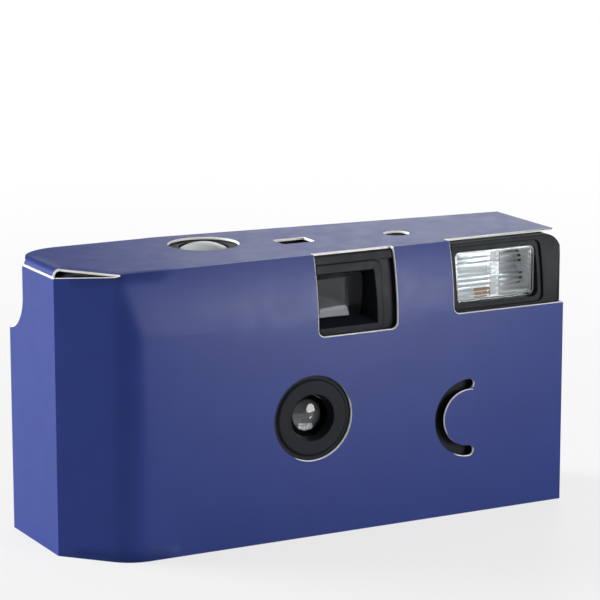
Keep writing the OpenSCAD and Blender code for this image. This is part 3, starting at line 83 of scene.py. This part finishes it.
# The rims of the cuts are frayed, but keen this far round the tip of the tuck. Under this height
# they are frayed only where the cut faces about this way.
CUT_R = 0.16 * MM
FRAYED_WAY = Vector((-1, 0, 1)).normalized()
FRAYED_SHARE = 0.3
KEEN_BELOW = 37 * MM
TUCK_TIP = Vector((-48.3, -16.2, 61.6)) * MM
TIP_REACH = 3 * MM

# How far the front card bulges: turn of its normal per metre, and where it is flat
BULGE = (2.2, 0, 2.5)
BULGE_AT = (0, 0, 25 * MM)

# The soft bend between the front and the bevelled corner: its radius, and where it starts and is full
BEND_R = 4 * MM
BEND_LEFT = (-58.5 * MM, -55 * MM)
BEND_RIGHT = (-34 * MM, -42 * MM)

# Colours, linear
BLUE = (0.020, 0.038, 0.188)
CORE = (0.90, 0.89, 0.87)
BOARD = (0.62, 0.61, 0.58)
BLACK = (0.010, 0.012, 0.016)
CHARCOAL = (0.030, 0.031, 0.034)
BUTTON = (0.40, 0.43, 0.44)
SILVER = (0.84, 0.86, 0.87)
STEEL = (0.50, 0.51, 0.53)
BLACKENED = (0.030, 0.030, 0.033)
BRASS = (0.72, 0.55, 0.24)
COPPER = (0.60, 0.26, 0.09)
FILM = (0.10, 0.045, 0.028)
IVORY = (0.72, 0.71, 0.66)
WHITE = (0.84, 0.84, 0.82)
AMBER = (0.34, 0.17, 0.05)
STRAW = (0.96, 0.75, 0.5)
GREEN = (0.03, 0.14, 0.06)
PLUM = (0.10, 0.09, 0.11)
CLEAR = (0.94, 0.96, 0.97)
SMOKY = (0.58, 0.60, 0.62)
COATING = (0.40, 0.42, 0.45)
FLOOR = (0.62, 0.62, 0.62)

# Stage: the world's light, the floor with the distances over which it fades to white and the share
# of white that it starts from, and the places of the lamps
AMBIENT = 0.22
FLOOR_SIZE = 8
FLOOR_FADE = (0.08, 0.5)
FLOOR_WHITE = 0.75
LAMPS_AIM = Vector((0, 0, 0.03))
KEY_AT = Vector((0.53, -0.92, 0.15))
SIDE_AT = Vector((-0.83, 0.70, 0.36))
BACK_AT = Vector((0.72, 0.97, 0.34))
TOP_AT = Vector((0.05, -0.10, 1.2))

# Sockets of the mix node for each kind: the two that are mixed, and the result
MIX_SOCKETS = {"RGBA": (6, 7, 2), "VECTOR": (4, 5, 1)}
BEVEL_SAMPLES = 6


# Materials

class Finish:
    """One material's node tree, with short calls for the nodes that the finishes share."""

    def __init__(self, name):
        self.material = bpy.data.materials.new(name)
        self.material.use_nodes = True
        self.tree = self.material.node_tree
        self.shader = self.tree.nodes["Principled BSDF"]
        self.output = self.tree.nodes["Material Output"]
        self.place = self.node("ShaderNodeTexCoord").outputs["Object"]

    def node(self, kind, **values):
        made = self.tree.nodes.new(kind)
        for socket, value in values.items():
            self.put(made.inputs[socket.replace("_", " ")], value)
        return made

    def put(self, socket, value):
        if isinstance(value, bpy.types.NodeSocket):
            self.tree.links.new(value, socket)
        elif isinstance(value, (tuple, list)) and len(value) == 3 and socket.type == "RGBA":
            socket.default_value = (*value, 1)
        else:
            socket.default_value = value

    def set(self, **values):
        for socket, value in values.items():
            self.put(self.shader.inputs[socket.replace("_", " ")], value)

    def product(self, a, b, clamp=False):
        made = self.node("ShaderNodeMath")
        made.operation = "MULTIPLY"
        made.use_clamp = clamp
        self.put(made.inputs[0], a)
        self.put(made.inputs[1], b)
        return made.outputs[0]

    def vector(self, operation, a, b=None):
        made = self.node("ShaderNodeVectorMath", Vector=a)
        made.operation = operation
        if b is not None:
            self.put(made.inputs["Scale" if operation == "SCALE" else 1], b)
        return made.outputs["Value" if operation == "LENGTH" else "Vector"]

    def along(self, vector, axis):
        return self.node("ShaderNodeSeparateXYZ", Vector=vector).outputs[axis]

    def noise(self, size, detail=3.0, at=None):
        """Cloudy noise whose patches are about that size."""
        made = self.node("ShaderNodeTexNoise", Vector=at or self.place, Scale=1 / size, Detail=detail)
        return made.outputs["Fac"]

    def mapped(self, value, start, end, low=0.0, high=1.0, kind="LINEAR"):
        """The range from start to end drawn out to run from low to high."""
        made = self.node("ShaderNodeMapRange", Value=value, From_Min=start, From_Max=end,
                         To_Min=low, To_Max=high)
        made.interpolation_type = kind
        return made.outputs["Result"]

    def between(self, factor, low, high):
        """The factor's middle half drawn out to run from low to high."""
        return self.mapped(factor, 0.25, 0.75, low, high)

    def blend(self, factor, a, b, kind="RGBA"):
        made = self.node("ShaderNodeMix")
        made.data_type = kind
        first, second, result = MIX_SOCKETS[kind]
        self.put(made.inputs[0], factor)
        self.put(made.inputs[first], a)
        self.put(made.inputs[second], b)
        return made.outputs[result]

    def tinted(self, colour, share, size):
        """The colour with cloudy patches that are lighter and darker by that share."""
        low = tuple(c * (1 - share) for c in colour)
        high = tuple(min(1, c * (1 + share)) for c in colour)
        return self.blend(self.between(self.noise(size), 0, 1), low, high)

    def rounded(self, radius):
        made = self.node("ShaderNodeBevel", Radius=radius)
        made.samples = BEVEL_SAMPLES
        return made.outputs["Normal"]

    def bump(self, height, depth, normal=None):
        made = self.node("ShaderNodeBump", Height=height, Distance=depth)
        if normal is not None:
            self.put(made.inputs["Normal"], normal)
        return made.outputs["Normal"]

    def bent(self):
        """The normal, with a softer bend beside the bevelled corner."""
        x = self.along(self.place, "X")
        soft = self.product(self.mapped(x, *BEND_LEFT, kind="SMOOTHSTEP"),
                            self.mapped(x, *BEND_RIGHT, kind="SMOOTHSTEP"))
        plain = self.node("ShaderNodeNewGeometry").outputs["Normal"]
        return self.blend(soft, plain, self.rounded(BEND_R), "VECTOR")

    def bulged(self, normal):
        """The normal turned outwards over a panel that faces the front."""
        front = self.product(self.along(normal, "Y"), -1, clamp=True)
        turn = self.vector("MULTIPLY", self.vector("SUBTRACT", self.place, BULGE_AT), BULGE)
        return self.vector("NORMALIZE", self.vector("ADD", self.vector("SCALE", turn, front), normal))


def printed_card():
    """Satin print on card that sags a little between its folds."""
    f = Finish("printed_card")
    f.set(Base_Color=f.tinted(BLUE, share=0.05, size=9 * MM))
    f.set(Roughness=f.between(f.noise(4 * MM), low=0.39, high=0.46))
    sag = f.bump(f.noise(42 * MM, detail=1), depth=0.3 * MM, normal=f.bulged(f.bent()))
    f.set(Normal=f.bump(f.noise(0.35 * MM), depth=0.008 * MM, normal=sag))
    f.set(IOR=1.5, Specular_IOR_Level=0.16)
    return f.material


def plain_card(name, colour):
    """Unprinted card with a fibrous grain."""
    f = Finish(name)
    f.set(Base_Color=f.tinted(colour, share=0.06, size=0.6 * MM), Roughness=0.85)
    f.set(Normal=f.bump(f.noise(0.15 * MM), depth=0.03 * MM))
    return f.material


def moulded(name, colour, roughness, grain=0.25 * MM, depth=0.012 * MM, edge=0.25 * MM, gloss=0.5):
    """Moulded plastic with a fine eroded grain, uneven gloss and soft edges."""
    f = Finish(name)
    f.set(Base_Color=f.tinted(colour, share=0.10, size=3 * MM))
    f.set(Roughness=f.between(f.noise(2.5 * MM), roughness - 0.06, roughness + 0.06))
    f.set(Normal=f.bump(f.noise(grain), depth, f.rounded(edge)), Specular_IOR_Level=gloss)
    return f.material


def clear(name, colour, roughness=0.03, index=1.49, sheen=(1, 1, 1)):
    """Glass or clear plastic, whose sheen a coating can dim."""
    f = Finish(name)
    f.set(Base_Color=f.tinted(colour, share=0.015, size=2 * MM), IOR=index, Specular_Tint=sheen)
    f.set(Roughness=f.between(f.noise(1.5 * MM), roughness, roughness * 2))
    f.set(Transmission_Weight=1)
    return f.material


def metal(name, colour, roughness, stretch=(1, 1, 1), grain=0.3 * MM, depth=0.004 * MM, metallic=1):
    """Metal whose rolled or drawn lines run along the axis with the small stretch."""
    f = Finish(name)
    lines = f.noise(grain, detail=2, at=f.vector("MULTIPLY", f.place, stretch))
    f.set(Base_Color=f.tinted(colour, share=0.06, size=2 * MM), Metallic=metallic)
    f.set(Roughness=f.between(lines, roughness * 0.8, roughness * 1.25))
    f.set(Normal=f.bump(lines, depth, f.rounded(0.1 * MM)))
    return f.material


finishes = {
    "card": printed_card(),
    "black_plastic": moulded("black_plastic", BLACK, 0.46, edge=0.4 * MM, gloss=0.07),
    "grey_plastic": moulded("grey_plastic", CHARCOAL, 0.60, gloss=0.2),
    "white_plastic": moulded("white_plastic", IVORY, 0.45),
    "button_plastic": moulded("button_plastic", BUTTON, 0.34, depth=0.004 * MM),
    "dial_plastic": moulded("dial_plastic", WHITE, 0.5),
    "lens": clear("lens", SMOKY),
    "flash_lens": clear("flash_lens", CLEAR, 0.05),
    "tube_glass": clear("tube_glass", CLEAR, 0.02, index=1.47),
    "lamp_glass": clear("lamp_glass", STRAW, 0.05),
    "light_pipe": moulded("light_pipe", PLUM, 0.25),
    "amber": moulded("amber", AMBER, 0.25),
    "reflector": metal("reflector", SILVER, 0.40, stretch=(0.05, 1, 1), metallic=0.6),
    "sheet_steel": moulded("sheet_steel", BLACKENED, 0.42, depth=0.004 * MM),
    "spring_steel": metal("spring_steel", STEEL, 0.25),
    "cassette_metal": metal("cassette_metal", STEEL, 0.30, stretch=(1, 1, 0.05)),
    "film": moulded("film", FILM, 0.22, depth=0.002 * MM),
    "board": moulded("board", GREEN, 0.35),
    "capacitor_sleeve": moulded("capacitor_sleeve", BLACK, 0.28),
    "winding": metal("winding", COPPER, 0.32, stretch=(0.05, 0.05, 1)),
    "contact_brass": metal("contact_brass", BRASS, 0.30, stretch=(1, 1, 0.05)),
    "battery_jacket": moulded("battery_jacket", CHARCOAL, 0.30),
}
own_finishes = {"viewfinder_front_lens": clear("finder_lens", SMOKY, sheen=COATING)}
for part in frame["record"]["subparts"]:
    mesh = nodes[part["node"]].data
    mesh.materials.clear()
    mesh.materials.append(own_finishes.get(part["node"], finishes[part["material_slot"]]))

# In the order of PRINTED, INSIDE and CUT
card_finishes = (finishes["card"], plain_card("card_inside", BOARD), plain_card("card_core", CORE))


# Card sleeve: the CAD form with soft folds, printed outside, plain inside and white where it is cut

tongue = [v.co for v in nodes["flash_button_flap"].data.vertices]
fold_x = max(p.x for p in tongue)
fold_z = min(p.z for p in tongue), max(p.z for p in tongue)


def at_fold(face):
    """True on the line along which the tongue bends, where the card isn't cut."""
    centre = face.calc_center_median()
    return abs(centre.x - fold_x) < CARD_T / 4 and fold_z[0] < centre.z < fold_z[1]


def is_cut_edge(tree, face):
    """True if the card under most of the face is deeper than a doubled card, as behind a cut edge."""
    inward = -face.normal
    centre = face.calc_center_median()
    deep = 0
    for p in [centre] + [centre.lerp(v.co, 0.6) for v in face.verts]:
        depth = tree.ray_cast(p + inward * RAY_STEP, inward)[3]
        deep += 1 if depth is None or depth > CUT_DEPTH else -1
    return deep > 0


def is_inside(tree, face):
    """True if the face looks into the sleeve."""
    return tree.ray_cast(face.calc_center_median() + face.normal * RAY_STEP, face.normal)[3] is not None


def is_frayed(rim):
    if any((v.co - TUCK_TIP).length < TIP_REACH for v in rim.verts):
        return False
    cut = max(rim.link_faces, key=lambda f: f.material_index)
    return cut.normal.dot(FRAYED_WAY) > FRAYED_SHARE or all(v.co.z > KEEN_BELOW for v in rim.verts)


def flat_regions(bm):
    """The faces in groups that join and lie in one plane."""
    left = set(bm.faces)
    while left:
        group, edge_of_group = [], [left.pop()]
        while edge_of_group:
            face = edge_of_group.pop()
            group.append(face)
            for other in {f for e in face.edges for f in e.link_faces} & left:
                if other.normal.angle(face.normal, math.pi) < FLAT_ANGLE:
                    left.remove(other)
                    edge_of_group.append(other)
        yield group


def card_copy(node):
    """The node's mesh, welded, with the tongue's gap closed along its fold."""
    bm = bmesh.new()
    bm.from_mesh(nodes[node].data)
    bmesh.ops.remove_doubles(bm, verts=bm.verts, dist=WELD)
    for vert in bm.verts:
        if abs(vert.co.x - fold_x) < FOLD_GAP / 5:
            vert.co.x += FOLD_GAP
    bm.normal_update()
    return bm


def mark_faces(bm):
    """Marks each flat region by what most of its area is, and joins its faces."""
    tree = BVHTree.FromBMesh(bm)
    for flat in flat_regions(bm):
        half = sum(f.calc_area() for f in flat) / 2
        cut = sum(f.calc_area() for f in flat if is_cut_edge(tree, f) and not at_fold(f))
        inside = sum(f.calc_area() for f in flat if is_inside(tree, f))
        for face in flat:
            face.material_index = CUT if cut > half else INSIDE if inside > half else PRINTED
    bmesh.ops.dissolve_limit(bm, angle_limit=FLAT_ANGLE, verts=bm.verts, edges=bm.edges,
                             delimit={"MATERIAL"})
    bm.normal_update()


def round_folds(bm):
    folds = [e for e in bm.edges if len(e.link_faces) == 2 and e.is_convex
             and all(f.material_index == PRINTED and not at_fold(f) for f in e.link_faces)
             and e.calc_face_angle() > FOLD_ANGLE]
    bmesh.ops.bevel(bm, geom=folds, offset=FOLD_R, segments=FOLD_SEGMENTS, profile=0.5,
                    affect="EDGES", clamp_overlap=True, material=PRINTED)


def fray_rims(bm):
    rims = [e for e in bm.edges if e.is_convex
            and sorted(f.material_index for f in e.link_faces) == [PRINTED, CUT]]
    bmesh.ops.bevel(bm, geom=[e for e in rims if is_frayed(e)], offset=CUT_R, segments=1,
                    affect="EDGES", material=CUT)


def smooth_bends(mesh):
    """Corner normals that run on over slight bends, weighted by area, and break at steeper ones."""
    mesh.shade_smooth()
    least = math.cos(SMOOTH_ANGLE)
    around = [[] for _ in mesh.vertices]
    for face in mesh.polygons:
        for v in face.vertices:
            around[v].append((face.normal.copy(), face.area))
    normals = []
    for face in mesh.polygons:
        for v in face.vertices:
            total = Vector()
            for normal, area in around[v]:
                if normal.dot(face.normal) > least:
                    total += normal * area
            normals.append(total.normalized())
    mesh.normals_split_custom_set(normals)


def dressed_card(node, name):
    bm = card_copy(node)
    limits = [[end(v.co[i] for v in bm.verts) for i in range(3)] for end in (min, max)]
    mark_faces(bm)
    round_folds(bm)
    fray_rims(bm)
    for vert in bm.verts:
        vert.co = [min(max(c, low), high) for c, low, high in zip(vert.co, *limits)]
    mesh = bpy.data.meshes.new(name)
    bm.to_mesh(mesh)
    bm.free()
    for finish in card_finishes:
        mesh.materials.append(finish)
    smooth_bends(mesh)
    piece = bpy.data.objects.new(name, mesh)
    bpy.context.scene.collection.objects.link(piece)
    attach(piece, node_body[node])
    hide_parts(node)


dressed_card("card_sleeve", "printed_sleeve")
dressed_card("flash_button_flap", "printed_tongue")


# Stage

def camera_rays(tree):
    """1 for rays from the camera, 0 for rays that light the object."""
    return tree.nodes.new("ShaderNodeLightPath").outputs["Is Camera Ray"]


def white_world():
    """A world that lights the object evenly, and that the camera sees as white."""
    world = bpy.data.worlds.new("studio")
    world.use_nodes = True
    tree = world.node_tree
    tree.nodes.clear()
    mix = tree.nodes.new("ShaderNodeMixShader")
    tree.links.new(camera_rays(tree), mix.inputs["Fac"])
    for socket, strength in ((1, AMBIENT), (2, 1)):
        light = tree.nodes.new("ShaderNodeBackground")
        light.inputs["Color"].default_value = (1, 1, 1, 1)
        light.inputs["Strength"].default_value = strength
        tree.links.new(light.outputs[0], mix.inputs[socket])
    out = tree.nodes.new("ShaderNodeOutputWorld")
    tree.links.new(mix.outputs[0], out.inputs["Surface"])
    bpy.context.scene.world = world


def floor():
    """A pale floor that fades to the white of the background away from the object."""
    half = FLOOR_SIZE / 2
    corners = [(-half, -half, 0), (half, -half, 0), (half, half, 0), (-half, half, 0)]
    mesh = bpy.data.meshes.new("floor")
    mesh.from_pydata(corners, [], [(0, 1, 2, 3)])
    piece = bpy.data.objects.new("floor", mesh)
    bpy.context.scene.collection.objects.link(piece)
    f = Finish("floor")
    f.set(Base_Color=FLOOR, Roughness=0.5)
    away = f.vector("LENGTH", f.place)
    fade = f.mapped(away, *FLOOR_FADE, low=FLOOR_WHITE, kind="SMOOTHSTEP")
    white = f.node("ShaderNodeEmission", Color=(1, 1, 1), Strength=1.0)
    mix = f.node("ShaderNodeMixShader", Fac=f.product(fade, camera_rays(f.tree)))
    f.put(mix.inputs[1], f.shader.outputs[0])
    f.put(mix.inputs[2], white.outputs[0])
    f.put(f.output.inputs["Surface"], mix.outputs[0])
    mesh.materials.append(f.material)


def soft_light(name, place, size, watts, sheen=True, body=True):
    """A round soft box, which can be kept out of the sheen or out of the body colours."""
    lamp = bpy.data.lights.new(name, "AREA")
    lamp.shape = "DISK"
    lamp.size = size
    lamp.energy = watts
    piece = bpy.data.objects.new(name, lamp)
    piece.visible_glossy = sheen
    piece.visible_diffuse = body
    piece.location = place
    piece.rotation_euler = (LAMPS_AIM - place).to_track_quat("-Z", "Y").to_euler()
    bpy.context.scene.collection.objects.link(piece)


def photo_camera():
    back = Vector((-math.sin(YAW) * math.cos(PITCH), -math.cos(YAW) * math.cos(PITCH), math.sin(PITCH)))
    right = Vector((0, 0, 1)).cross(back).normalized()
    up = back.cross(right)
    turned_right = right * math.cos(ROLL) + up * math.sin(ROLL)
    turned_up = up * math.cos(ROLL) - right * math.sin(ROLL)
    turn = Matrix((turned_right, turned_up, back)).transposed().to_4x4()
    data = bpy.data.cameras.new("photo_camera")
    data.sensor_width = SENSOR
    data.lens = SENSOR * FOCAL_PX / IMAGE_PX
    data.clip_start = NEAR_CLIP
    camera = bpy.data.objects.new("photo_camera", data)
    camera.matrix_world = Matrix.Translation(AIM + back * DISTANCE) @ turn
    bpy.context.scene.collection.objects.link(camera)
    bpy.context.scene.camera = camera


white_world()
floor()
soft_light("key", KEY_AT, size=0.55, watts=9.2)
soft_light("key_sheen", KEY_AT, size=0.55, watts=10, body=False)
soft_light("side", SIDE_AT, size=0.7, watts=12)
soft_light("side_fill", SIDE_AT, size=0.7, watts=14, sheen=False)
soft_light("back", BACK_AT, size=0.6, watts=2.0)
soft_light("top", TOP_AT, size=0.9, watts=1.5)
photo_camera()
bpy.context.scene.view_settings.view_transform = "Standard"
